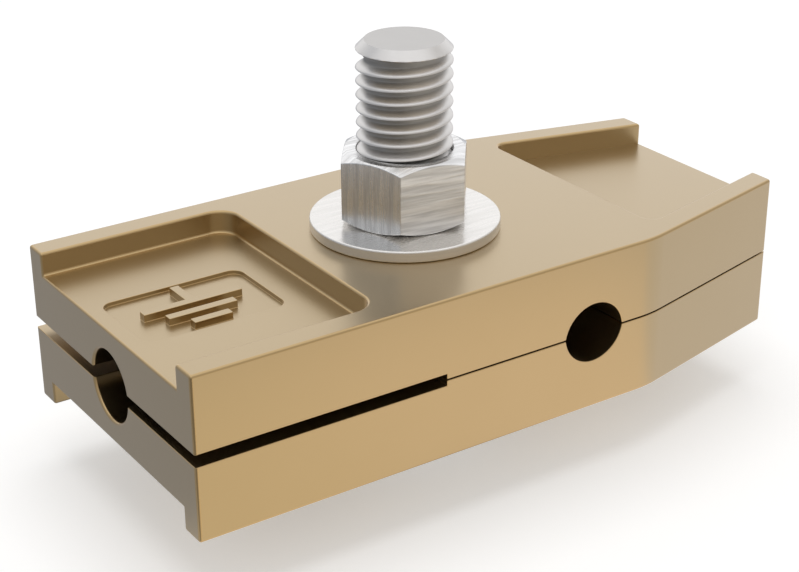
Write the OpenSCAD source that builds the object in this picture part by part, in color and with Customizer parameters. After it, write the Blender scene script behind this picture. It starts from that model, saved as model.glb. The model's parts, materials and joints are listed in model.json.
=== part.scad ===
// Split earthing test clamp: two identical cast halves, drawn together by one through bolt.
// One conductor enters along the clamp at the square end, a second one crosses near the tapered end.
// Frame: origin on the end conductor's axis at the square end, +X towards the tapered end,
// +Z up towards the nut. The parting plane is z = 0.

/* [Casting] */
// Length of a half from its square end to its tapered end
casting_length = 90.4; // [84:0.2:110]
// Width across the straight stretch
casting_width = 42.1; // [34:0.1:54]
// Width across the tapered end
tip_width = 29.9; // [20:0.1:33]
// Distance from the square end to the start of the taper
straight_length = 64.8; // [58:0.1:72]
// Radius of the bend where the sides turn into the taper
taper_bend_r = 16; // [6:0.5:16]
// Height of the closed pair, outer face to outer face
closed_height = 20.84; // [18:0.02:28]
// Gap left along the parting plane when the pair is tightened
parting_gap = 0.2; // [0.1:0.05:0.4]

/* [Outer recesses] */
// Thickness of the ribs along both sides, measured across the clamp
rib_thickness = 3.5; // [2:0.1:6]
// Depth of both recesses below the outer face
recess_depth = 3; // [1:0.1:4]
// Length of the recess at the square end
square_recess_length = 25.8; // [22:0.1:28]
// Radius of the inner corners of that recess
square_recess_corner_r = 2.8; // [1:0.1:8]
// Length of the recess at the tapered end
tapered_recess_length = 22.6; // [10:0.1:30]
// Radius of the inner corners of that recess
tapered_recess_corner_r = 1.6; // [0.8:0.1:4]

/* [Label panel] */
// Distance from the square end to the sunken panel
panel_from_end = 2.2; // [1:0.1:4]
// Length of the panel along the clamp
panel_length = 18.6; // [15:0.1:20]
// Width of the panel across the clamp
panel_width = 12.3; // [11:0.1:24]
// Corner radius of the panel
panel_corner_r = 1.5; // [0.5:0.1:4]
// Depth of the panel below the recess floor
panel_depth = 0.5; // [0.2:0.05:0.8]
// Height of the raised earth symbol above the panel floor
symbol_height = 0.9; // [0.3:0.05:1.4]
// Length of the symbol's longest bar
symbol_long_bar = 13; // [9.5:0.5:14]
// Length that each further bar loses
symbol_bar_step = 4; // [2:0.5:4.5]
// Width of the symbol's strokes
symbol_stroke = 1.2; // [0.7:0.1:1.7]
// Distance from one bar to the next
symbol_bar_pitch = 2.5; // [1.9:0.1:3]
// Length of the stem above the longest bar
symbol_stem = 4; // [2:0.1:5]

/* [Conductor bores] */
// Diameter of the bore that enters at the square end
end_bore_d = 9; // [6:0.1:10]
// Height of the open slot on both sides of that bore
slot_height = 1.54; // [0.8:0.02:3]
// Length of the slot and of the end bore
slot_length = 33.3; // [26:0.1:34]
// Radius of the cross groove in each half
cross_groove_r = 4.5; // [3:0.1:5.5]
// How far each cross groove's centre lies beyond the parting plane
cross_closing = 0.6; // [0.2:0.05:1]
// Distance from the bolt axis to the cross conductor's axis
cross_from_bolt = 13.9; // [13:0.1:16]

/* [Bolt and nut] */
// Distance from the square end to the bolt axis
bolt_from_end = 41.6; // [41:0.1:46]
// Thread diameter
bolt_d = 12; // [10:0.1:13]
// Width across the flats of the head and of the nut
across_flats = 15.1; // [14.6:0.1:20]
// Height of the bolt head
head_height = 7.5; // [5:0.1:10]
// Height of the nut
nut_height = 9; // [6:0.1:12]
// Length of thread standing above the nut, with its chamfer
thread_standout = 13.76; // [6:0.02:24]
// Width of the chamfer on the bolt's end
end_chamfer = 1.05; // [0.5:0.05:2]
// Slope of the chamfers on the head and nut, in degrees
hex_chamfer_angle = 30; // [15:1:35]
// How far the nut is turned from square to the clamp, in degrees
nut_turned = 52.7; // [0:0.1:59.9]

/* [Washers] */
// Outer diameter of the plain washers
washer_d = 24; // [20:0.5:30]
// Thickness of the plain washers
washer_thickness = 1.5; // [1:0.1:3]

/* [Clearances] */
// Radial play of the bolt in the casting's hole
casting_play = 0.75; // [0.3:0.05:1]
// Radial play of the bolt in a washer
washer_play = 0.5; // [0.2:0.05:0.8]
// Radial play of the bolt in the nut
thread_play = 0.05; // [0.02:0.01:0.1]

/* [Hidden] */
$fn = 96;

// How far a cutter runs past the face it cuts
over = 1;
brass = [0.74, 0.63, 0.44];
steel = [0.78, 0.78, 0.77];

outer_z = closed_height / 2;
recess_floor_z = outer_z - recess_depth;
panel_floor_z = recess_floor_z - panel_depth;
tapered_recess_x = casting_length - tapered_recess_length;
cross_x = bolt_from_end + cross_from_bolt;
taper_slope = (casting_width - tip_width) / 2 / (casting_length - straight_length);
taper_angle = atan(taper_slope);
nut_z = outer_z + washer_thickness;
head_z = -outer_z - washer_thickness;
bolt_end_z = nut_z + nut_height + thread_standout;
hex_corner_r = across_flats / 2 / cos(30);

// Half the casting's width at a distance x from the square end
function half_width_at(x) = casting_width / 2 - max(0, x - straight_length) * taper_slope;

// One side of an outline, then the same points back along the other side
function both_sides(points) = concat(
    points,
    [for (i = [len(points) - 1:-1:0]) [points[i].x, -points[i].y]]
);

// A circle on each side rounds the bend, between the two points at which it touches the sides
module casting_outline() {
    reach = taper_bend_r * tan(taper_angle / 2);
    bend = [straight_length - reach, straight_length + reach * cos(taper_angle)];
    polygon(both_sides([for (x = [0, bend[0], bend[1], casting_length]) [x, half_width_at(x)]]));
    for (side = [-1, 1]) translate([bend[0], side * (casting_width / 2 - taper_bend_r)]) circle(taper_bend_r);
}

// A rectangle from x = 0 with all four corners rounded
module rounded_rectangle(length, width, r) {
    translate([0, r - width / 2]) square([length, width - 2 * r]);
    translate([r, -width / 2]) square([length - 2 * r, width]);
    for (x = [r, length - r], y = [r - width / 2, width / 2 - r]) translate([x, y]) circle(r);
}

// The recess at the square end is open there, so its near corners lie outside the casting
module square_recess() {
    r = square_recess_corner_r;
    translate([-2 * r, 0, recess_floor_z])
        linear_extrude(recess_depth + over)
            rounded_rectangle(square_recess_length + 2 * r, casting_width - 2 * rib_thickness, r);
}

// The recess at the tapered end keeps its ribs parallel to the sides, also where it starts before the taper
module tapered_recess() {
    r = tapered_recess_corner_r;
    turn = tapered_recess_x + r < straight_length ? 0 : taper_angle;
    corner_y = half_width_at(tapered_recess_x) - rib_thickness - r * (1 + sin(turn)) / cos(turn);
    past_x = casting_length + over;
    translate([0, 0, recess_floor_z]) linear_extrude(recess_depth + over) {
        polygon(both_sides([
            [tapered_recess_x, corner_y],
            [tapered_recess_x + r * (1 + sin(turn)), corner_y + r * cos(turn)],
            if (turn == 0) [straight_length, half_width_at(straight_length) - rib_thickness],
            [past_x, half_width_at(past_x) - rib_thickness]
        ]));
        for (side = [-1, 1]) translate([tapered_recess_x + r, side * corner_y]) circle(r);
    }
}

module label_panel() {
    translate([panel_from_end, 0, panel_floor_z])
        linear_extrude(panel_depth + over)
            rounded_rectangle(panel_length, panel_width, panel_corner_r);
}

// The common earth sign: a stem that ends on three bars, each shorter than the last
module earth_symbol() {
    symbol_reach = symbol_stem + 2 * symbol_bar_pitch + symbol_stroke;
    translate([panel_from_end + panel_length / 2, symbol_reach / 2 - symbol_stem, panel_floor_z - over])
        linear_extrude(symbol_height + over) {
            translate([-symbol_stroke / 2, -symbol_stroke]) square([symbol_stroke, symbol_stem + symbol_stroke]);
            for (i = [0:2]) {
                bar = symbol_long_bar - i * symbol_bar_step;
                translate([-bar / 2, -symbol_stroke - i * symbol_bar_pitch]) square([bar, symbol_stroke]);
            }
        }
}

// Half of the bore along the clamp, with the open slot beside it
module end_groove() {
    translate([-over, 0, 0]) rotate([0, 90, 0]) cylinder(d = end_bore_d, h = slot_length + over);
    translate([-over, -casting_width / 2 - over, -over])
        cube([slot_length + over, casting_width + 2 * over, slot_height / 2 + over]);
}

// Half of the bore across the clamp: its centre lies beyond the parting plane, so the pair closes to an oval
module cross_groove() {
    translate([cross_x, casting_width / 2 + over, -cross_closing])
        rotate([90, 0, 0]) cylinder(r = cross_groove_r, h = casting_width + 2 * over);
}

// The upper half as cast, with its mating face down
module clamp_half() {
    difference() {
        translate([0, 0, parting_gap / 2]) linear_extrude(outer_z - parting_gap / 2) casting_outline();
        square_recess();
        tapered_recess();
        label_panel();
        end_groove();
        cross_groove();
        translate([bolt_from_end, 0, -over]) cylinder(d = bolt_d + 2 * casting_play, h = outer_z + 2 * over);
    }
    earth_symbol();
}

// A hexagon with the corners of both end faces chamfered, standing on z = 0
module hex_body(height) {
    drop = (hex_corner_r - across_flats / 2) * tan(hex_chamfer_angle);
    intersection() {
        rotate(nut_turned) cylinder(r = hex_corner_r, h = height, $fn = 6);
        rotate_extrude() polygon([
            [0, 0],
            [across_flats / 2, 0],
            [hex_corner_r, drop],
            [hex_corner_r, height - drop],
            [across_flats / 2, height],
            [0, height]
        ]);
    }
}

module washer(z) {
    translate([bolt_from_end, 0, z]) difference() {
        cylinder(d = washer_d, h = washer_thickness);
        translate([0, 0, -over]) cylinder(d = bolt_d + 2 * washer_play, h = washer_thickness + 2 * over);
    }
}

module lower_clamp_half() {
    color(brass) rotate([180, 0, 0]) clamp_half();
}

module upper_clamp_half() {
    color(brass) clamp_half();
}

module clamp_bolt() {
    color(steel) translate([bolt_from_end, 0, 0]) {
        translate([0, 0, head_z - head_height]) hex_body(head_height);
        translate([0, 0, head_z - over]) cylinder(d = bolt_d, h = bolt_end_z - end_chamfer - head_z + over);
        translate([0, 0, bolt_end_z - end_chamfer])
            cylinder(r1 = bolt_d / 2, r2 = bolt_d / 2 - end_chamfer, h = end_chamfer);
    }
}

module lower_washer() {
    color(steel) washer(head_z);
}

module upper_washer() {
    color(steel) washer(outer_z);
}

// The nut's bore stands at the thread's outer diameter, with a countersink at both mouths
module hex_nut() {
    bore_r = bolt_d / 2 + thread_play;
    mouth = (across_flats / 2 - bore_r) / 3;
    color(steel) translate([bolt_from_end, 0, nut_z]) difference() {
        hex_body(nut_height);
        translate([0, 0, -over]) cylinder(r = bore_r, h = nut_height + 2 * over);
        translate([0, 0, nut_height - mouth]) cylinder(r1 = bore_r, r2 = bore_r + 2 * mouth, h = 2 * mouth);
        translate([0, 0, -mouth]) cylinder(r1 = bore_r + 2 * mouth, r2 = bore_r, h = 2 * mouth);
    }
}

lower_clamp_half();
upper_clamp_half();
clamp_bolt();
lower_washer();
upper_washer();
hex_nut();
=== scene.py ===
# %% [markdown]
# # An earthing test clamp
# Two cast halves close on two earth conductors, and one through bolt draws them together. The solids, their
# sizes and their joints come packed from the construction model. This notebook gives them their
# surfaces: the eased edges of the castings, the rolled thread of the bolt, the brushed nut and
# washers, and a studio to see them in.

# %% Load the frame
import json
from math import cos, pi, radians, sin, tan

import bmesh
import bpy
from mathutils import Euler, Matrix, Vector


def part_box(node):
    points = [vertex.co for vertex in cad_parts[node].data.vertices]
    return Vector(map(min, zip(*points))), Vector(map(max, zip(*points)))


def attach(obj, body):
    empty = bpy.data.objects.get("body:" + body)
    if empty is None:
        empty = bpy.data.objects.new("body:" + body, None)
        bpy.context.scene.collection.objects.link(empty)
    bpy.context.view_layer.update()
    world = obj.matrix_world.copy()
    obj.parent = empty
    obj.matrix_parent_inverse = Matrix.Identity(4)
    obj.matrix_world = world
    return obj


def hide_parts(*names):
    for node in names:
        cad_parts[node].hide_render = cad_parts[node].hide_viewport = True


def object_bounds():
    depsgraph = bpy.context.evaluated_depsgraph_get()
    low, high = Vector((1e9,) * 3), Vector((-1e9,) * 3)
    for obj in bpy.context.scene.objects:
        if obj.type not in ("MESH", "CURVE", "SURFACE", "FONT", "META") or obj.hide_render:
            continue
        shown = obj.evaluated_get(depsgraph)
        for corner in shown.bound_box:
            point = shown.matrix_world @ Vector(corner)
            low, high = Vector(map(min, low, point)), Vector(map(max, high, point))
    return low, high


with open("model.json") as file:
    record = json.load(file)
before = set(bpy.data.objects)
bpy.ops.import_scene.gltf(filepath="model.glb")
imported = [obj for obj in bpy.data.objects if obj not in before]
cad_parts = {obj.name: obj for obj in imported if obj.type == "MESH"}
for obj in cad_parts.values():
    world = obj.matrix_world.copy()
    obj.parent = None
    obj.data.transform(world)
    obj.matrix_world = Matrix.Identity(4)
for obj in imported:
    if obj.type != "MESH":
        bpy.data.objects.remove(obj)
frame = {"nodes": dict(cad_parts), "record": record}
cad_box = [list(corner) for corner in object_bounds()]
scene = bpy.context.scene
scene.view_settings.view_transform = "Standard"
MM = 0.001
print("CAD box, mm:", [[round(v / MM, 2) for v in corner] for corner in cad_box])

# %% [markdown]
# ## The camera
# The photograph's straight edges fix the lens, the place and the tilt of the camera, so these few numbers
# say all of it. Heading turns the camera about the vertical, away from straight along +Y.
# Down is how far it looks below the horizon. The roll is small but shows over the length of the clamp.
# A Track To constraint would aim the camera as well, but it leaves no room for the roll.

# %% Camera
CAMERA_PLACE = Vector((-73.9, -171.1, 98.06)) * MM
CAMERA_HEADING = radians(-33.819)
CAMERA_DOWN = radians(24.98)
CAMERA_ROLL = radians(-0.315)
CAMERA_LENS = 80.29
SENSOR_WIDTH = 36
CLIP_FROM = 10 * MM
CLIP_TO = 20

camera = bpy.data.objects.new("camera", bpy.data.cameras.new("camera"))
scene.collection.objects.link(camera)
camera.data.sensor_width = SENSOR_WIDTH
camera.data.lens = CAMERA_LENS
camera.data.clip_start = CLIP_FROM
camera.data.clip_end = CLIP_TO
camera.location = CAMERA_PLACE
aim = Euler((pi / 2 - CAMERA_DOWN, 0, CAMERA_HEADING)).to_matrix()
camera.rotation_euler = (aim @ Matrix.Rotation(CAMERA_ROLL, 3, "Z")).to_euler()
scene.camera = camera


# %% [markdown]
# ## Node maths as plain sums
# Node trees are easier to read as formulas than as lists of links. One small class wraps an output
# socket, and Python's operators on it add Math nodes. Every other node comes from `add`, which
# takes its type, then its settings, then what goes into its sockets. Geometry trees use it too.

# %% The wrapper
class Wire:
    """An output socket of a node. Sums on it add Math nodes to its tree."""

    def __init__(self, tree, socket):
        self.tree, self.socket = tree, socket

    def math(self, operation, *values):
        return add(self.tree, "ShaderNodeMath", {"operation": operation}, dict(enumerate(values)))

    def __add__(self, other):
        return self.math("ADD", self, other)

    def __sub__(self, other):
        return self.math("SUBTRACT", self, other)

    def __rsub__(self, other):
        return self.math("SUBTRACT", other, self)

    def __mul__(self, other):
        return self.math("MULTIPLY", self, other)

    def __truediv__(self, other):
        return self.math("DIVIDE", self, other)

    def __rtruediv__(self, other):
        return self.math("DIVIDE", other, self)

    __radd__ = __add__
    __rmul__ = __mul__


def add(tree, kind, settings=None, sockets=None, output=0):
    """Adds a node, sets its properties first, then its sockets, and returns one of its outputs."""
    node = tree.nodes.new(kind)
    for name, value in (settings or {}).items():
        setattr(node, name, value)
    for name, value in (sockets or {}).items():
        if isinstance(value, Wire):
            tree.links.new(value.socket, node.inputs[name])
        else:
            node.inputs[name].default_value = value
    return Wire(tree, node.outputs[output] if node.outputs else None)


# %% Nodes that are used again and again
def blend_colour(tree, factor, low, high):
    """A mix of two colours, or of two colour wires."""
    settings = {"data_type": "RGBA", "clamp_factor": True}
    return add(tree, "ShaderNodeMix", settings, {0: factor, 6: low, 7: high}, output=2)


def ramp_between(tree, value, low, high):
    """0 at low and 1 at high, held beyond them, with an eased climb between. High may be the smaller one."""
    settings = {"interpolation_type": "SMOOTHSTEP", "clamp": True}
    return add(tree, "ShaderNodeMapRange", settings, {0: value, 1: low, 2: high, 3: 0.0, 4: 1.0})


def reach(tree, vector, way):
    """How far a vector reaches along a way."""
    return add(tree, "ShaderNodeVectorMath", {"operation": "DOT_PRODUCT"}, {0: vector, 1: way}, output=1)


def axis_part(tree, vector, axis):
    """A vector's X, Y or Z."""
    return add(tree, "ShaderNodeSeparateXYZ", None, {0: vector}, output=axis)


def attribute(tree, name):
    """A number that the mesh stores under a name."""
    return add(tree, "ShaderNodeAttribute", {"attribute_name": name}, output="Fac")


def asked_by(tree):
    """Whether the camera, a mirror or glass asks for a colour: one wire of 0 or 1 for each."""
    path = add(tree, "ShaderNodeLightPath").socket.node
    kinds = ("Is Camera Ray", "Is Glossy Ray", "Is Transmission Ray")
    return [Wire(tree, path.outputs[kind]) for kind in kinds]


# %% [markdown]
# ## The studio
# Bare metal has no colour of its own to lean on: it shows the room. So the room is the real light here. The
# camera sees plain white. Mirror rays see a white wall behind the clamp on the right, a white ceiling, and
# greyer walls to the left and in front, as product studios hang them. Big area lamps could stand for the
# walls, but each would show as a hard square in the brushed steel. A world that changes with direction
# is soft.

# %% Walls of light
WALL_WHITE = (1.04, 1.04, 1.05, 1)
WALL_LEFT = (0.45, 0.465, 0.49, 1)
WALL_FRONT = (0.61, 0.585, 0.555, 1)
PLAIN_WHITE = (1, 1, 1, 1)
# What matt surfaces get from the room, the same from every side
ROOM_GREY = (0.55, 0.55, 0.55, 1)
# The front wall starts and is full at these reaches towards it, where 1 is straight at it
FRONT_WALL = Vector((0.33, -0.94, 0))
FRONT_FROM = -0.4
FRONT_FULL = 0.7
# The bright wall is full inside the first angle off its middle, and gone outside the second
BRIGHT_WALL = Vector((0.50, 0.75, 0.42)).normalized()
BRIGHT_INSIDE = radians(28)
BRIGHT_OUTSIDE = radians(64)
# The ceiling's edge, as heights above the horizon
OVERHEAD_FROM = sin(radians(36))
OVERHEAD_FULL = sin(radians(58))

world = bpy.data.worlds.new("studio")
scene.world = world
world.use_nodes = True
world.cycles.sampling_method = "NONE"
sky = world.node_tree
sky.nodes.clear()
by_camera, by_mirror, by_glass = asked_by(sky)
direction = add(sky, "ShaderNodeTexCoord", output="Generated")
behind = ramp_between(sky, reach(sky, direction, BRIGHT_WALL), cos(BRIGHT_OUTSIDE), cos(BRIGHT_INSIDE))
overhead = ramp_between(sky, axis_part(sky, direction, "Z"), OVERHEAD_FROM, OVERHEAD_FULL)
frontal = ramp_between(sky, reach(sky, direction, FRONT_WALL), FRONT_FROM, FRONT_FULL)
walls = blend_colour(sky, frontal, WALL_LEFT, WALL_FRONT)
walls = blend_colour(sky, behind.math("MAXIMUM", behind, overhead), walls, WALL_WHITE)
room = blend_colour(sky, by_mirror, ROOM_GREY, walls)
backdrop = blend_colour(sky, by_camera + by_glass, room, PLAIN_WHITE)
background = add(sky, "ShaderNodeBackground", None, {"Color": backdrop})
add(sky, "ShaderNodeOutputWorld", None, {"Surface": background})
print("world nodes:", len(sky.nodes))

# %% [markdown]
# ## The floor
# The floor is white to the camera and keeps the clamp's soft shadow. The clamp's upright faces mirror the
# floor before them, so mirror rays find it laid with sheets of different paper: warm in front and brighter to
# the right, plain grey by the tapered end, darker far in front, white off the front of the square end, and a
# painted shade from there round behind the clamp. One more dark sheet, off the near corner, draws that
# corner's rounding as a dark line, and a painted shadow under the clamp is what the bolt's head mirrors. Each
# sheet is one soft step across the floor, so a few sums on the floor's own coordinates lay them all. Real
# sheets would do it too, but the camera would see them.

# %% Sheets on the floor
FLOOR_SIZE = 6.0
WARM_SHEET = (1.02, 0.925, 0.765, 1)
# Each further sheet: its colour, the way across the floor, and where it starts and is full along that way
SHEETS = (
    ((1.13, 1.015, 0.89, 1), (1, 0, 0), 5 * MM, 60 * MM),
    ((0.86, 0.85, 0.86, 1), (0.8, 0.6, 0), 42 * MM, 50 * MM),
    ((0.66, 0.63, 0.58, 1), (0, -1, 0), 76 * MM, 90 * MM),
    ((1.03, 1.015, 1.02, 1), (-1, 0, 0), 0, 12 * MM),
    # Painted shade off the square end and round behind the clamp, seen only by mirror rays
    ((0.37, 0.385, 0.42, 1), (-0.6, 0.8, 0), -24 * MM, 8 * MM),
)
# The dark sheet off the near corner starts and is full at these distances off the end and off the front
DARK_SHEET = (0.25, 0.24, 0.23, 1)
DARK_OFF_END = (2 * MM, 9 * MM)
DARK_OFF_FRONT = (23 * MM, 30 * MM)
# The shadow under the clamp ends at the first distance from the bolt and is full inside the second
SHADED = (0.50, 0.49, 0.47, 1)
SHADE_EDGE = 34 * MM
SHADE_FULL = 16 * MM
BOLT_X = (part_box("hex_nut")[0].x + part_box("hex_nut")[1].x) / 2
FLOOR_MATT = (0.80, 0.80, 0.80, 1)
FLOOR_LIFT = (0.32, 0.32, 0.32, 1)
BLACK = (0, 0, 0, 1)

floor_z = cad_box[0][2]
half = FLOOR_SIZE / 2
corners = [(-half, -half, floor_z), (half, -half, floor_z), (half, half, floor_z), (-half, half, floor_z)]
mesh = bpy.data.meshes.new("floor")
mesh.from_pydata(corners, [], [(0, 1, 2, 3)])
floor = bpy.data.objects.new("floor", mesh)
scene.collection.objects.link(floor)

paint = bpy.data.materials.new("floor_paint")
paint.use_nodes = True
paint.cycles.emission_sampling = "NONE"
tree = paint.node_tree
tree.nodes.clear()
by_camera, by_mirror, by_glass = asked_by(tree)
place = add(tree, "ShaderNodeTexCoord", output="Object")
mirrored = WARM_SHEET
for colour, way, start, full in SHEETS:
    mirrored = blend_colour(tree, ramp_between(tree, reach(tree, place, way), start, full), mirrored, colour)
off_end = ramp_between(tree, 0 - axis_part(tree, place, "X"), *DARK_OFF_END)
off_front = ramp_between(tree, 0 - axis_part(tree, place, "Y"), *DARK_OFF_FRONT)
mirrored = blend_colour(tree, off_end * off_front, mirrored, DARK_SHEET)
bolt_foot = (BOLT_X, 0, floor_z)
from_bolt = add(tree, "ShaderNodeVectorMath", {"operation": "DISTANCE"}, {0: place, 1: bolt_foot}, output=1)
mirrored = blend_colour(tree, ramp_between(tree, from_bolt, SHADE_EDGE, SHADE_FULL), mirrored, SHADED)
own_light = blend_colour(tree, by_mirror, FLOOR_LIFT, mirrored)
shows = by_camera + by_mirror + by_glass
glow = add(tree, "ShaderNodeEmission", None, {"Color": own_light, "Strength": shows})
matt = add(tree, "ShaderNodeBsdfDiffuse", None, {"Color": blend_colour(tree, by_mirror, FLOOR_MATT, BLACK)})
both = add(tree, "ShaderNodeAddShader", None, {0: matt, 1: glow})
add(tree, "ShaderNodeOutputMaterial", None, {"Surface": both})
mesh.materials.append(paint)
print("floor at z", round(floor_z / MM, 2), "mm, nodes:", len(tree.nodes))

# %% [markdown]
# ## The lamps
# Two weak, wide lamps only model the form: one overhead, and a warmer one from the front on the left. They
# are hidden from mirror rays, so that no lamp shows in the metal, and the walls stay the main light.

# %% Lamps
CLAMP_CENTRE = Vector((0.045, 0, 0))


def softbox(name, place, size, watts, colour=(1, 1, 1)):
    """A square area lamp that faces the clamp."""
    lamp = bpy.data.lights.new(name, "AREA")
    lamp.shape = "SQUARE"
    lamp.size = size
    lamp.energy = watts
    lamp.color = colour
    holder = bpy.data.objects.new(name, lamp)
    scene.collection.objects.link(holder)
    holder.visible_glossy = False
    holder.location = place
    holder.rotation_euler = (CLAMP_CENTRE - Vector(place)).to_track_quat("-Z", "Y").to_euler()


softbox("overhead", place=(0.05, 0.05, 0.75), size=0.6, watts=2.4)
softbox("front_left", place=(-0.55, -0.5, 0.35), size=0.35, watts=0.7, colour=(1.0, 0.97, 0.92))
print("lamps:", [light.name for light in bpy.data.lights])

# %% [markdown]
# ## The cast halves
# A casting has no sharp corners: metal won't fill them and the pattern wouldn't leave the sand. The
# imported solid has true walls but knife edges, so this copy of it gets every edge eased by its own
# amount. One Bevel modifier does it, reading a weight stored on each edge: widest at the outside, at the
# mouths and in the foot of a recess, less at the corners of a recess, and only a hair along the parting plane
# and round the raised sign. One width for all would be less to write, but it would eat the slot and the sign.

# %% Where the surfaces of a half lie
RECESS_DEPTH = 3.0 * MM
PANEL_DEPTH = 0.5 * MM
SLOT_Z = 0.77 * MM
BOLT_HOLE_R = 6.75 * MM
NEAR = 0.02 * MM

half_low, half_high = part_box("upper_clamp_half")
OUTER_Z = half_high.z
RECESS_Z = OUTER_Z - RECESS_DEPTH
PANEL_Z = RECESS_Z - PANEL_DEPTH
PARTING_Z = half_low.z


def near(value, *targets):
    return any(abs(value - t) < NEAR for t in targets)


def in_bolt_hole(point):
    return (point.xy - Vector((BOLT_X, 0))).length < BOLT_HOLE_R + NEAR


print("outer face, recess, panel and parting plane at z, mm:",
      [round(z / MM, 2) for z in (OUTER_Z, RECESS_Z, PANEL_Z, PARTING_Z)])

# %% Which edge gets which radius
EASE_WIDEST = 0.8 * MM
# Shares of the widest easing
EASE_OUTSIDE = 0.45
EASE_MOUTH = 0.45
EASE_FOOT = 0.45
EASE_CORNER = 0.35
EASE_FINE = 0.12
EASE_PARTING = 0.12
EASE_PRINT = 0.09
# Below this angle two faces count as one surface
SHARP = radians(25)


def ease_of(edge):
    """The share of the widest easing that an edge of a cast half gets."""
    if edge.calc_face_angle(0) < SHARP:
        return 0.0
    a, b = (v.co for v in edge.verts)
    low, high = sorted((abs(a.z), abs(b.z)))
    end_face = all(near(p.x, half_low.x, half_high.x) for p in (a, b))
    side_face = near(abs(a.y), half_high.y) and near(abs(b.y), half_high.y)
    if near(low, OUTER_Z):
        return EASE_PARTING if in_bolt_hole(a) else EASE_OUTSIDE
    if near(low, PANEL_Z) or near(high, PANEL_Z) or (low > RECESS_Z + NEAR and high < OUTER_Z - NEAR):
        return EASE_PRINT
    if near(low, RECESS_Z) and near(high, RECESS_Z):
        if end_face:
            return EASE_CORNER
        if edge.is_convex:
            return EASE_PRINT
        return EASE_FOOT if max(a.x, b.x) < BOLT_X else 0.0
    if near(high, OUTER_Z) and near(low, RECESS_Z):
        return EASE_CORNER
    if near(high, OUTER_Z):
        return EASE_OUTSIDE
    if near(high, PARTING_Z) or near(low, SLOT_Z) and near(high, SLOT_Z):
        return EASE_PARTING
    if end_face:
        return EASE_MOUTH
    return EASE_FINE if side_face else 0.0


finest, widest = (round(share * EASE_WIDEST / MM, 3) for share in (EASE_PRINT, EASE_OUTSIDE))
print("easing from", finest, "to", widest, "mm")

# %% Bevel a mesh
# Points closer than this are one point
DOUBLES = 1e-6


def applied(obj):
    """The mesh that an object's modifiers make, as a plain mesh of its own."""
    mesh = bpy.data.meshes.new_from_object(obj.evaluated_get(bpy.context.evaluated_depsgraph_get()))
    bpy.data.objects.remove(obj)
    return mesh


def bevelled(name, bm, width, segments, **limit):
    """Rounds a bmesh's edges. New faces are told apart by their material number, kept as a number on the
    faces that marks the eased edges.
    """
    rough = bpy.data.meshes.new(name)
    bm.to_mesh(rough)
    bm.free()
    for _ in range(2):
        rough.materials.append(None)
    holder = bpy.data.objects.new(name, rough)
    scene.collection.objects.link(holder)
    bevel = holder.modifiers.new("ease", "BEVEL")
    bevel.width = width
    bevel.segments = segments
    bevel.use_clamp_overlap = False
    bevel.loop_slide = False
    bevel.material = 1
    for setting, value in limit.items():
        setattr(bevel, setting, value)
    mesh = applied(holder)
    eased_edge = mesh.attributes.new("eased_edge", "FLOAT", "FACE")
    for face in mesh.polygons:
        eased_edge.data[face.index].value = float(face.material_index == 1)
        face.material_index = 0
    return mesh


# %% [markdown]
# ## Flat faces that stay flat
# Smooth shading blends the normals of all the faces round a point, so a big flat face beside a rounding looks
# pillowed. Here a flat face keeps its own normal up to its edge, the rounding takes that normal where the
# two meet, and it bends the light only in between. The Weighted Normal modifier does much the same,
# but it favours big faces, and the small flats of this clamp need the care as much.

# %% Calm a mesh's normals
# A face of a rounding that leans further than this from every flat face round a point follows the rounding
BEND_REACH = radians(50)


def calm_normals(mesh):
    """Gives flat faces their own normal at every corner, and roundings the flat one where they meet it."""
    eased_edge = [value.value > 0.5 for value in mesh.attributes["eased_edge"].data]
    faces = mesh.polygons
    around = [[] for _ in mesh.vertices]
    for face in faces:
        for v in face.vertices:
            around[v].append(face.index)

    def within(ring, normal, angle):
        return [f for f in ring if faces[f].normal.angle(normal, pi) < angle]

    normals = [None] * len(mesh.loops)
    for face in faces:
        for loop in face.loop_indices:
            ring = around[mesh.loops[loop].vertex_index]
            plain = [f for f in ring if not eased_edge[f]]
            if not eased_edge[face.index]:
                group = within(plain, face.normal, SHARP)
            elif within(plain, face.normal, BEND_REACH):
                closest = min(plain, key=lambda f: faces[f].normal.angle(face.normal, pi))
                group = within(plain, faces[closest].normal, SHARP)
            else:
                group = within(ring, face.normal, BEND_REACH)
            total = sum((faces[f].normal * faces[f].area for f in group), Vector())
            normals[loop] = total.normalized() if total.length > 0 else face.normal
    mesh.shade_smooth()
    mesh.normals_split_custom_set(normals)


# %% Put a piece on its body
def finished(name, mesh, material, *nodes):
    """Puts a mesh in the scene at the origin, on the body of the nodes it stands for."""
    piece = bpy.data.objects.new(name, mesh)
    scene.collection.objects.link(piece)
    mesh.materials.clear()
    mesh.materials.append(material)
    record = frame["record"]
    body = next(b for b, names in record["behaviour"]["bodies"].items() if nodes[0] in names)
    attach(piece, body)
    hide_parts(*nodes)
    print(name, "on", body, "faces:", len(mesh.polygons))


# %% How much painted shade a face gets
END_BORE_R = 4.6 * MM
SLOT_SHADE = 0.58
# A level face's normal has at least this upward part, squared. A side face's has at most the second
# upward part and at least the third sideways one
LEVEL_SQUARED = 0.98
UPRIGHT_MOST = 0.02
SIDEWAYS_LEAST = 0.9


def hole_shade_of(face):
    """How much painted shade a face gets: 0 outside, more in the slot and its bore, 1 in the other holes."""
    if face.normal.z ** 2 > LEVEL_SQUARED and near(abs(face.center.z), OUTER_Z, RECESS_Z, PANEL_Z):
        return 0.0
    if in_bolt_hole(face.center):
        return 1.0
    at_end = not half_low.x + EASE_WIDEST < face.center.x < half_high.x - EASE_WIDEST
    at_side = abs(face.normal.z) < UPRIGHT_MOST and abs(face.normal.y) > SIDEWAYS_LEAST
    if abs(face.center.z) > END_BORE_R or at_end or at_side:
        return 0.0
    return SLOT_SHADE if face.center.x < BOLT_X - BOLT_HOLE_R else 1.0


# %% The two halves
FLAT = radians(0.5)
HALF_SEGMENTS = 4


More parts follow.
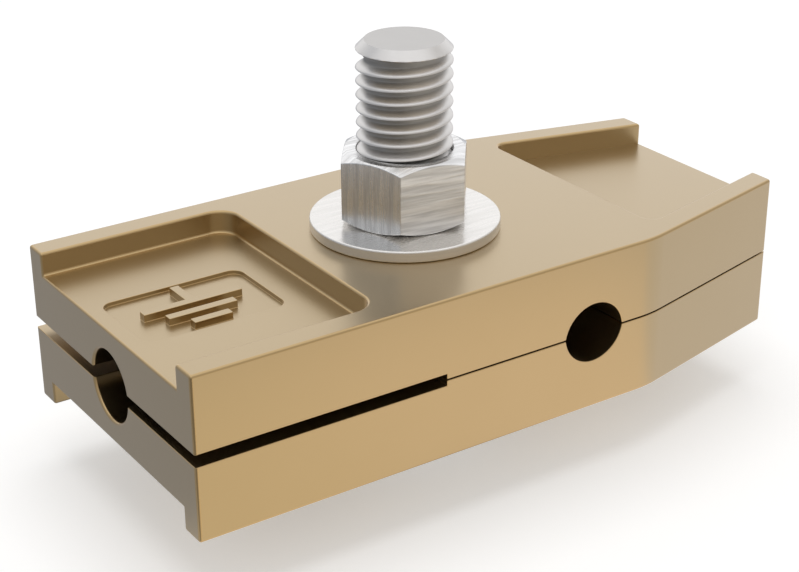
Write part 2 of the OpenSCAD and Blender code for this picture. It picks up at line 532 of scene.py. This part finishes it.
def eased_half(node):
    """A packed half with its doubles merged, its flat faces joined and its edges eased."""
    bm = bmesh.new()
    bm.from_mesh(frame["nodes"][node].data)
    bmesh.ops.remove_doubles(bm, verts=bm.verts, dist=DOUBLES)
    bmesh.ops.dissolve_limit(bm, angle_limit=FLAT, verts=bm.verts, edges=bm.edges)
    weight = bm.edges.layers.float.new("bevel_weight_edge")
    for edge in bm.edges:
        edge[weight] = ease_of(edge)
    mesh = bevelled(node + "_cast", bm, EASE_WIDEST, HALF_SEGMENTS, limit_method="WEIGHT")
    # How much painted shade each face gets, for the slot and the holes
    hole_shade = mesh.attributes.new("hole_shade", "FLOAT", "FACE")
    for face in mesh.polygons:
        hole_shade.data[face.index].value = hole_shade_of(face)
    calm_normals(mesh)
    return mesh


brass = bpy.data.materials.new("cast_brass")
brass.use_nodes = True
for node in ("lower_clamp_half", "upper_clamp_half"):
    finished(node + "_cast", eased_half(node), brass, node)

# %% [markdown]
# ## Finish of the castings
# The brass is blasted to an even satin. Real satin is a blur of tiny dents, so a fine noise bumps it a
# little, and a broad one shifts its colour and its gloss. Both are too weak to see as a pattern. A soft coat
# gives the satin its pale sheen, and the eased edges are a shade warmer, partly as rubbed wear and partly as
# a painted highlight. Deep in the slot and the holes the metal is painted dark as shade, and the coat ends
# there.
# Two numbers stored on the faces steer that: one marks the eased edges, the other how much painted shade a
# face gets. A mask made from the mesh's curvature would also find every small edge of the sign.

# %% Finish of the castings
BRASS_LOW = (0.470, 0.347, 0.177, 1)
BRASS_HIGH = (0.500, 0.372, 0.194, 1)
# The eased edges' colour: partly rubbed wear, partly a painted highlight
BRASS_WORN_SHEEN = (0.530, 0.368, 0.165, 1)
# Painted shade: the dark colour deep in the slot and the holes
BRASS_SHADE = (0.10, 0.07, 0.033, 1)
BRASS_ROUGH = 0.27
MOTTLE_ROUGHER = 0.06
MOTTLE_SCALE = 110.0
GRAIN_SCALE = 2600.0
GRAIN_STRENGTH = 0.05
GRAIN_DEPTH = 0.02 * MM
COAT_ROUGH = 0.3
# Distances from the clamp's middle plane where the painted shade deep in the slot and the holes starts and is
# full
HOLE_SHADE_FROM = 17 * MM
HOLE_SHADE_FULL = 4 * MM

shader = brass.node_tree.nodes["Principled BSDF"]
tree = brass.node_tree
place = add(tree, "ShaderNodeTexCoord", output="Object")
mottle = add(tree, "ShaderNodeTexNoise", None, {"Vector": place, "Scale": MOTTLE_SCALE, "Detail": 3.0})
grain = add(tree, "ShaderNodeTexNoise", None, {"Vector": place, "Scale": GRAIN_SCALE, "Detail": 2.0})
across = axis_part(tree, place, "Y")
# Painted shade deep in the slot and the holes: darker colour and no coat there
painted_shade = attribute(tree, "hole_shade") * ramp_between(tree, across.math("ABSOLUTE", across), HOLE_SHADE_FROM, HOLE_SHADE_FULL)
body_colour = blend_colour(tree, mottle, BRASS_LOW, BRASS_HIGH)
edge_colour = blend_colour(tree, attribute(tree, "eased_edge"), body_colour, BRASS_WORN_SHEEN)
bump = add(tree, "ShaderNodeBump", None, {
    "Strength": GRAIN_STRENGTH, "Distance": GRAIN_DEPTH, "Height": grain})
tree.links.new(blend_colour(tree, painted_shade, edge_colour, BRASS_SHADE).socket, shader.inputs["Base Color"])
tree.links.new((mottle * MOTTLE_ROUGHER + BRASS_ROUGH).socket, shader.inputs["Roughness"])
tree.links.new((1 - painted_shade).socket, shader.inputs["Coat Weight"])
tree.links.new(bump.socket, shader.inputs["Normal"])
shader.inputs["Metallic"].default_value = 1.0
shader.inputs["Coat Roughness"].default_value = COAT_ROUGH
print(brass.name, "nodes:", len(tree.nodes))

# %% [markdown]
# ## Washers, nut and head as skins through rings
# The washers, the nut and the bolt's head are round things with a few flats. One skin of rings makes
# them all: each ring has the same number of columns, and a hexagon is only a ring whose radius
# swings with the angle. A chamfered hexagon could also be cut from a cylinder with Booleans, but those leave
# long thin faces, which a bevel tears. The same Bevel as on the castings takes the knife off the edges.

# %% A skin through rings
COLUMNS = 96
HEX_TURN = radians(52.7)
FLAT_R = 7.55 * MM
FACE_R = 0.97 * FLAT_R
FACE_SLOPE = tan(radians(30))
SIXTH = pi / 3


def skin(profile, closed):
    """Sweeps a profile round the bolt's axis. profile(angle) gives its points as (radius, height)."""
    bm = bmesh.new()
    rings = []
    for k in range(COLUMNS):
        angle = HEX_TURN + 2 * pi * k / COLUMNS
        rings.append([bm.verts.new((BOLT_X + r * cos(angle), r * sin(angle), z)) for r, z in profile(angle)])
    count = len(rings[0])
    for k in range(COLUMNS):
        here, there = rings[k - 1], rings[k]
        for i in range(count if closed else count - 1):
            j = (i + 1) % count
            bm.faces.new((here[i], there[i], there[j], here[j]))
    bmesh.ops.remove_doubles(bm, verts=bm.verts, dist=DOUBLES)
    bmesh.ops.recalc_face_normals(bm, faces=bm.faces)
    return bm


def hex_radius(angle):
    """The hexagon's radius at an angle: its corners stand at HEX_TURN and every sixth of a turn on."""
    return FLAT_R / cos((angle - HEX_TURN) % SIXTH - SIXTH / 2)


print("hexagon across the corners, mm:", round(2 * hex_radius(HEX_TURN) / MM, 2))

# %% A map along the belt marks
# A face that points further up or down than this is level
LEVEL_FROM = 0.7


def brush_map(mesh, upright):
    """Writes the UV map brush, in millimetres, whose U runs along the marks of the belt.

    upright(normal) says whether a flat has upright marks. Flats with level marks are noted as "level".
    """
    uv = mesh.uv_layers.new(name="brush")
    level = mesh.attributes.new("level", "FLOAT", "FACE")
    axis = Vector((BOLT_X, 0, 0))
    for face in mesh.polygons:
        heading = (face.center - axis).to_2d().angle_signed(Vector((1, 0)), 0)
        side = Vector((-sin(heading), cos(heading)))
        flat = abs(face.normal.z) <= LEVEL_FROM
        level.data[face.index].value = float(flat and not upright(face.normal))
        for loop in face.loop_indices:
            point = mesh.vertices[mesh.loops[loop].vertex_index].co - axis
            if not flat:
                u, v = point.x, point.y
            else:
                u, v = heading * FLAT_R + point.to_2d().dot(side), point.z
                if upright(face.normal):
                    u, v = v, u
            uv.data[loop].uv = (u / MM, v / MM)


# %% Washers
WASHER_HOLE_R = 6.5 * MM
WASHER_EASE = 0.25 * MM
STEEL_SEGMENTS = 3

pressed = bpy.data.materials.new("pressed_steel")
pressed.use_nodes = True


def washer(node):
    """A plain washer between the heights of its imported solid."""
    low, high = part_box(node)
    rim = (high.x - low.x) / 2
    profile = [(WASHER_HOLE_R, low.z), (rim, low.z), (rim, high.z), (WASHER_HOLE_R, high.z)]
    ring = skin(lambda angle: profile, True)
    mesh = bevelled(node, ring, WASHER_EASE, STEEL_SEGMENTS, limit_method="ANGLE")
    calm_normals(mesh)
    brush_map(mesh, lambda normal: False)
    return mesh


for node in ("lower_washer", "upper_washer"):
    finished(node + "_pressed", washer(node), pressed, node)

# %% Nut
NUT_BORE_R = 6.02 * MM
NUT_MOUTH = 0.10 * MM
HEX_EASE = 0.08 * MM
HEX_SHARP = radians(20)

brushed = bpy.data.materials.new("brushed_steel")
brushed.use_nodes = True


def nut_profile(angle):
    """Out over the mouth and the lower face, up the flat, and back in to the bore."""
    low, high = (corner.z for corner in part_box("hex_nut"))
    rim = hex_radius(angle)
    drop = (rim - FACE_R) * FACE_SLOPE
    mouth = NUT_BORE_R + NUT_MOUTH
    below = [(NUT_BORE_R, low + NUT_MOUTH), (mouth, low), (FACE_R, low), (rim, low + drop)]
    above = [(rim, high - drop), (FACE_R, high), (mouth, high), (NUT_BORE_R, high - NUT_MOUTH)]
    return below + above


nut = bevelled("hex_nut", skin(nut_profile, True), HEX_EASE, STEEL_SEGMENTS,
               limit_method="ANGLE", angle_limit=HEX_SHARP)
calm_normals(nut)
brush_map(nut, lambda normal: abs(normal.x) > abs(normal.y))
finished("hex_nut_brushed", nut, brushed, "hex_nut")

# %% [markdown]
# ## Finish of the brushed and pressed steel
# A grinding belt leaves long marks all one way: across the washers, and up or along each flat of the nut,
# as it happened to be held. A noise stretched along the map brush draws them, and the same marks colour the
# steel, roughen it and bend its mirror image, as real scratches do all three. Anisotropy could smear the
# gloss alone, but from close by the single marks would be missing. Level marks bend light up and
# down, towards ceiling and floor, so they show more than upright ones.

# %% Finish of the brushed and pressed steel
# How tight the marks are along the belt and across it, for each millimetre
MARK_SCALE = (0.10, 1.7, 1)
MARK_FROM = 0.3
MARK_FULL = 0.7
MARK_SMOOTHER = 0.08
MARK_DEPTH = 0.04 * MM
STEEL_ROUGH = 0.32
LEVEL_ROUGHER = 0.14
LEVEL_DEEPER = 3.0


def brush_finish(material, dark, light, strength, wave):
    """Long marks along U of the map brush, which colour the steel, roughen it and bend its mirror image."""
    shader = material.node_tree.nodes["Principled BSDF"]
    tree = material.node_tree
    brush = add(tree, "ShaderNodeUVMap", {"uv_map": "brush"})
    stretched = add(tree, "ShaderNodeMapping", None, {"Vector": brush, "Scale": MARK_SCALE})
    marks = add(tree, "ShaderNodeTexNoise", None, {
        "Vector": stretched, "Scale": 1.0, "Detail": 4.0, "Roughness": 0.6, "Distortion": wave})
    streak = ramp_between(tree, marks, MARK_FROM, MARK_FULL)
    level = attribute(tree, "level")
    rough = level * LEVEL_ROUGHER - streak * MARK_SMOOTHER + STEEL_ROUGH
    relief = marks * (level * LEVEL_DEEPER + 1)
    bump = add(tree, "ShaderNodeBump", None, {"Strength": strength, "Distance": MARK_DEPTH, "Height": relief})
    tree.links.new(blend_colour(tree, streak, dark, light).socket, shader.inputs["Base Color"])
    tree.links.new(rough.socket, shader.inputs["Roughness"])
    tree.links.new(bump.socket, shader.inputs["Normal"])
    shader.inputs["Metallic"].default_value = 1.0
    print(material.name, "nodes:", len(tree.nodes))


brush_finish(pressed, dark=(0.81, 0.79, 0.76, 1), light=(0.88, 0.86, 0.83, 1), strength=0.03, wave=0.0)
brush_finish(brushed, dark=(0.665, 0.66, 0.655, 1), light=(0.98, 0.98, 0.98, 1), strength=0.45, wave=0.3)

# %% [markdown]
# ## The bolt and its thread
# A rolled thread is a ridge wound up a cylinder. It follows a rule, so Geometry Nodes make it: a flat grid
# is wrapped round the axis, each column climbs one pitch in a turn, and the distance from the
# nearest crest sets the radius. A Screw modifier would wind a profile too, but it wouldn't fade the ridge
# out at the head or end it in a ring. Since the rows themselves climb with the helix, the crest is a clean
# line and not a staircase. Where the rows would run past the ends they are held there, and Merge by
# Distance closes them on the head and on the end face. The last ridge below the end is a full ring.

# %% The thread's inputs
THREAD_INPUTS = {
    "Start": ("NodeSocketFloat", "lowest height of the thread"),
    "End": ("NodeSocketFloat", "height of the bolt's end face"),
    "Axis X": ("NodeSocketFloat", "place of the axis"),
    "Turn": ("NodeSocketFloat", "angle of the first column"),
    "Radius": ("NodeSocketFloat", "outside of the crests"),
    "Depth": ("NodeSocketFloat", "from crest to root"),
    "Upper Flank": ("NodeSocketFloat", "share of the pitch that it takes"),
    "Lower Flank": ("NodeSocketFloat", "share of the pitch that it takes"),
    "Pitch": ("NodeSocketFloat", "climb in one turn"),
    "Neck": ("NodeSocketFloat", "radius at the head"),
    "Run-out": ("NodeSocketFloat", "height over which the thread fades at the head"),
    "Columns": ("NodeSocketInt", "faces round the axis"),
    "Rows": ("NodeSocketInt", "faces in one pitch"),
    "Material": ("NodeSocketMaterial", "finish"),
}


def new_thread_tree():
    """An empty tree with the thread's inputs, and a wire from each of them."""
    tree = bpy.data.node_groups.new("rolled_thread", "GeometryNodeTree")
    tree.interface.new_socket("Geometry", in_out="INPUT", socket_type="NodeSocketGeometry")
    for name, (kind, words) in THREAD_INPUTS.items():
        tree.interface.new_socket(name, in_out="INPUT", socket_type=kind, description=words)
    tree.interface.new_socket("Geometry", in_out="OUTPUT", socket_type="NodeSocketGeometry")
    given = add(tree, "NodeGroupInput").socket.node
    return tree, {name: Wire(tree, given.outputs[name]) for name in ("Geometry", *THREAD_INPUTS)}


print("inputs of the thread:", len(THREAD_INPUTS))

# %% The thread's ridge
# Pitches below the end ring where the wound ridge has ended, and where it is whole
RING_CLEAR = 0.35
RING_FREE = 0.75
# Share of the run-out that stays plain neck
NECK_SHARE = 0.15
# Whole turns added before a fraction is taken, so that it is never of a number below 0
SPARE_TURNS = 4


def with_groove(tree, geometry, value, domain):
    """Stores how sunk a geometry is, from 0 on a crest to 1 in a root, for the finish's painted shade and
    roughness.
    """
    settings = {"data_type": "FLOAT", "domain": domain}
    sockets = {"Geometry": geometry, "Name": "groove", "Value": value}
    return add(tree, "GeometryNodeStoreNamedAttribute", settings, sockets)


def crest_height(tree, size, height, along):
    """How far a point at a height stands out, from 0 in the root to 1 on a crest."""
    turn_part = (height - size["Start"]) / size["Pitch"] - along
    above_crest = turn_part.math("FRACT", turn_part + SPARE_TURNS)
    upper = ramp_between(tree, above_crest, size["Upper Flank"], 0.0)
    lower = ramp_between(tree, above_crest, 1 - size["Lower Flank"], 1.0)
    below_ring = (size["End"] - height - size["Depth"]) / size["Pitch"]
    wound = upper.math("MAXIMUM", upper, lower) * ramp_between(tree, below_ring, RING_CLEAR, RING_FREE)
    return wound.math("MAXIMUM", wound, ramp_between(tree, below_ring, size["Lower Flank"], 0.0))


def thread_skin(tree, size):
    """A grid wrapped round the axis, whose rows climb with the helix."""
    turns = (size["End"] - size["Start"]) / size["Pitch"] + 1
    rows = turns.math("CEIL", turns) * size["Rows"]
    sheet = add(tree, "GeometryNodeMeshGrid", None, {
        "Size X": 1.0, "Size Y": 1.0, "Vertices X": size["Columns"] + 1, "Vertices Y": rows + 1})
    place = add(tree, "GeometryNodeInputPosition")
    along = axis_part(tree, place, "X") + 0.5
    up = axis_part(tree, place, "Y") + 0.5
    climb = up * rows / size["Rows"] + along - 1
    height = climb.math("MINIMUM", size["Start"] + climb * size["Pitch"], size["End"])
    height = height.math("MAXIMUM", height, size["Start"])
    crest = crest_height(tree, size, height, along)
    root = size["Radius"] - size["Depth"]
    fade = ramp_between(tree, (height - size["Start"]) / size["Run-out"], NECK_SHARE, 1.0)
    radius = size["Neck"] + (root + crest * size["Depth"] - size["Neck"]) * fade
    radius = radius.math("MINIMUM", radius, root + size["End"] - height)
    angle = along * (2 * pi) + size["Turn"]
    x = size["Axis X"] + radius * angle.math("COSINE", angle)
    y = radius * angle.math("SINE", angle)
    wrapped = add(tree, "ShaderNodeCombineXYZ", None, {"X": x, "Y": y, "Z": height})
    noted = with_groove(tree, sheet, 1 - crest, "POINT")
    return add(tree, "GeometryNodeSetPosition", None, {"Geometry": noted, "Position": wrapped})


# %% The thread with its head and its end face
# How far the head and the end face count as sunk: the head for painted shade under the clamp, the end face
# for a darker colour
END_DULL = 0.70
# Painted shade on the head, which lies in the clamp's shadow
HEAD_SHADE = 0.55
CLOSE_GAPS = 2e-6


def end_face(tree, size):
    """The disc that closes the bolt's end."""
    root = size["Radius"] - size["Depth"]
    disc = add(tree, "GeometryNodeMeshCircle", {"fill_type": "NGON"}, {
        "Vertices": size["Columns"], "Radius": root})
    middle = add(tree, "ShaderNodeCombineXYZ", None, {"X": size["Axis X"], "Z": size["End"]})
    turn = add(tree, "ShaderNodeCombineXYZ", None, {"Z": size["Turn"]})
    disc = add(tree, "GeometryNodeTransform", None, {
        "Geometry": disc, "Translation": middle, "Rotation": turn})
    return with_groove(tree, disc, END_DULL, "CORNER")


def thread_tree():
    """Adds a thread and an end face to the head that comes in."""
    tree, size = new_thread_tree()
    head = with_groove(tree, size["Geometry"], HEAD_SHADE, "CORNER")
    whole = add(tree, "GeometryNodeJoinGeometry")
    for part in (end_face(tree, size), thread_skin(tree, size), head):
        tree.links.new(part.socket, whole.socket.node.inputs[0])
    closed = add(tree, "GeometryNodeMergeByDistance", None, {"Geometry": whole, "Distance": CLOSE_GAPS})
    real = add(tree, "GeometryNodeRealizeInstances", None, {"Geometry": closed})
    painted = add(tree, "GeometryNodeSetMaterial", None, {"Geometry": real, "Material": size["Material"]})
    add(tree, "NodeGroupOutput", None, {"Geometry": painted})
    return tree


thread = thread_tree()
print("nodes of the thread:", len(thread.nodes))

# %% The bolt's head
bolt_low, bolt_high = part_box("clamp_bolt")
HEAD_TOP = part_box("lower_washer")[0].z
NECK_R = 5.35 * MM


def head_profile(angle):
    """From the middle of the head's underside, up its flats and in to the neck."""
    rim = hex_radius(angle)
    drop = (rim - FACE_R) * FACE_SLOPE
    low, high = bolt_low.z, HEAD_TOP
    return [(0, low), (FACE_R, low), (rim, low + drop), (rim, high - drop), (FACE_R, high), (NECK_R, high)]


head = bevelled("bolt_head", skin(head_profile, False), HEX_EASE, STEEL_SEGMENTS,
                limit_method="ANGLE", angle_limit=HEX_SHARP)
print("head height, mm:", round((HEAD_TOP - bolt_low.z) / MM, 2))

# %% The bolt
THREAD_R = 5.98 * MM
THREAD_DEPTH = 1.07 * MM
THREAD_PITCH = 1.75 * MM
# A whole number of columns from the head's corners, so that the neck's points meet the thread's
THREAD_TURN = HEX_TURN - radians(135)
UPPER_FLANK = 0.56
LOWER_FLANK = 0.26
RUN_OUT = 2 * MM
ROWS = 24
CREASE = radians(35)

rolled = bpy.data.materials.new("rolled_steel")
rolled.use_nodes = True
holder = bpy.data.objects.new("bolt_head", head)
scene.collection.objects.link(holder)
maker = holder.modifiers.new("thread", "NODES")
maker.node_group = thread
sizes = {"Start": HEAD_TOP, "End": bolt_high.z, "Axis X": BOLT_X, "Turn": THREAD_TURN, "Radius": THREAD_R,
         "Depth": THREAD_DEPTH, "Upper Flank": UPPER_FLANK, "Lower Flank": LOWER_FLANK,
         "Pitch": THREAD_PITCH, "Neck": NECK_R, "Run-out": RUN_OUT, "Columns": COLUMNS, "Rows": ROWS,
         "Material": rolled}
for socket in thread.interface.items_tree:
    if socket.name in sizes:
        maker[socket.identifier] = sizes[socket.name]
bolt = applied(holder)
bm = bmesh.new()
bm.from_mesh(bolt)
bmesh.ops.recalc_face_normals(bm, faces=bm.faces)
open_edges = sum(not edge.is_manifold for edge in bm.edges)
bm.to_mesh(bolt)
bm.free()
bolt.shade_smooth()
bolt.set_sharp_from_angle(angle=CREASE)
finished("clamp_bolt_rolled", bolt, rolled, "clamp_bolt")
print("open edges on the bolt:", open_edges)

# %% [markdown]
# ## Finish of the bolt
# The dies polish the crests of a rolled thread. The groove number, which the thread's own tree stored, goes
# from a light, smooth steel on a crest to a darker, rougher one in a root, and the darker colour is painted
# shade where the crests shade the roots. Ambient occlusion would find the roots too, but it costs samples.
# The head gets part of that painted shade, as it lies in the clamp's shadow, and the end face part of the
# darker colour. Fine stains break up the rest.

# %% Finish of the bolt
RUBBED_LOW = (0.66, 0.645, 0.63, 1)
RUBBED_HIGH = (0.80, 0.785, 0.77, 1)
# Painted shade in the thread's roots
ROOT_SHADE = (0.34, 0.33, 0.315, 1)
SUNK_FROM = 0.40
SUNK_FULL = 1.10
BOLT_ROUGH = 0.30
STAIN_ROUGHER = 0.12
SUNK_ROUGHER = 0.15
STAIN_SCALE = 420.0
STAIN_STRENGTH = 0.15
STAIN_DEPTH = 0.04 * MM

shader = rolled.node_tree.nodes["Principled BSDF"]
tree = rolled.node_tree
place = add(tree, "ShaderNodeTexCoord", output="Object")
stains = add(tree, "ShaderNodeTexNoise", None, {"Vector": place, "Scale": STAIN_SCALE, "Detail": 4.0})
sunk = ramp_between(tree, attribute(tree, "groove"), SUNK_FROM, SUNK_FULL)
rubbed = blend_colour(tree, stains, RUBBED_LOW, RUBBED_HIGH)
rough = stains * STAIN_ROUGHER + sunk * SUNK_ROUGHER + BOLT_ROUGH
bump = add(tree, "ShaderNodeBump", None, {
    "Strength": STAIN_STRENGTH, "Distance": STAIN_DEPTH, "Height": stains})
tree.links.new(blend_colour(tree, sunk, rubbed, ROOT_SHADE).socket, shader.inputs["Base Color"])
tree.links.new(rough.socket, shader.inputs["Roughness"])
tree.links.new(bump.socket, shader.inputs["Normal"])
shader.inputs["Metallic"].default_value = 1.0
print(rolled.name, "nodes:", len(tree.nodes))
